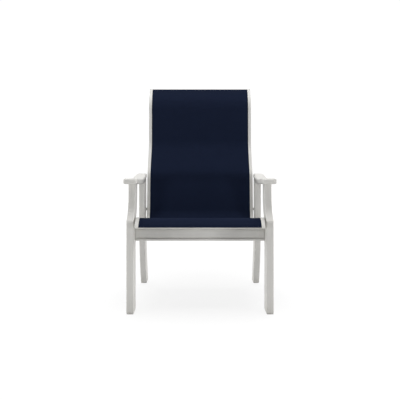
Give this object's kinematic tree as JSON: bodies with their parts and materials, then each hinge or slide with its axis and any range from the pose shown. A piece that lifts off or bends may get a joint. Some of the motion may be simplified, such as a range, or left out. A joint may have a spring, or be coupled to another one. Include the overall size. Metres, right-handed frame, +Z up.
{
  "type": "sling patio chair",
  "caption": "High-backed patio arm chair with a one-piece fabric sling stretched between two curved rails on a board frame.",
  "frame": {"origin": "on the floor, under the middle of the chair's overall box", "axes": "+Z up, the front of the chair faces -Y, X = 0 is its plane of symmetry and +X is the sitter's left"},
  "size_m": [0.719, 0.777, 1.1412],
  "materials": {
    "board": "smooth light warm grey board with eased edges",
    "rail": "fine satin powder coat, light warm grey",
    "sling": "matte navy woven mesh, stretched",
    "plastic": "matte grey moulded plastic",
    "steel": "stainless fasteners",
    "spline": "extruded cord"
  },
  "bodies": {
    "root": {"apron_bolt_lower_left": "steel", "apron_bolt_lower_right": "steel", "apron_bolt_upper_left": "steel", "apron_bolt_upper_right": "steel", "arm_left": "board", "arm_plug_front_left": "board", "arm_plug_front_right": "board", "arm_plug_rear_left": "board", "arm_plug_rear_right": "board", "arm_right": "board", "arm_screw_front_left": "steel", "arm_screw_front_right": "steel", "arm_screw_rear_left": "steel", "arm_screw_rear_right": "steel", "foot_glide_front_left": "plastic", "foot_glide_front_right": "plastic", "foot_glide_rear_left": "plastic", "foot_glide_rear_right": "plastic", "front_apron": "board", "front_leg_left": "board", "front_leg_right": "board", "rail_bolt_front_left": "steel", "rail_bolt_front_right": "steel", "rail_bolt_rear_left": "steel", "rail_bolt_rear_right": "steel", "rail_cap_front_left": "plastic", "rail_cap_front_right": "plastic", "rail_cap_top_left": "plastic", "rail_cap_top_right": "plastic", "rail_spacer_front_left": "plastic", "rail_spacer_front_right": "plastic", "rail_spacer_rear_left": "plastic", "rail_spacer_rear_right": "plastic", "rear_leg_left": "board", "rear_leg_right": "board", "rear_stretcher": "board", "rear_stretcher_bolt_left": "steel", "rear_stretcher_bolt_right": "steel", "side_stretcher_left": "board", "side_stretcher_right": "board", "sling_panel": "sling", "sling_rail_left": "rail", "sling_rail_right": "rail", "sling_spline_left": "spline", "sling_spline_right": "spline", "spreader_front": "rail", "spreader_screw_front_left": "steel", "spreader_screw_front_right": "steel", "spreader_screw_seat_left": "steel", "spreader_screw_seat_right": "steel", "spreader_screw_top_left": "steel", "spreader_screw_top_right": "steel", "spreader_seat": "rail", "spreader_top": "rail", "stretcher_screw_front_left": "steel", "stretcher_screw_front_right": "steel", "stretcher_screw_rear_left": "steel", "stretcher_screw_rear_right": "steel"}
  },
  "joints": []
}
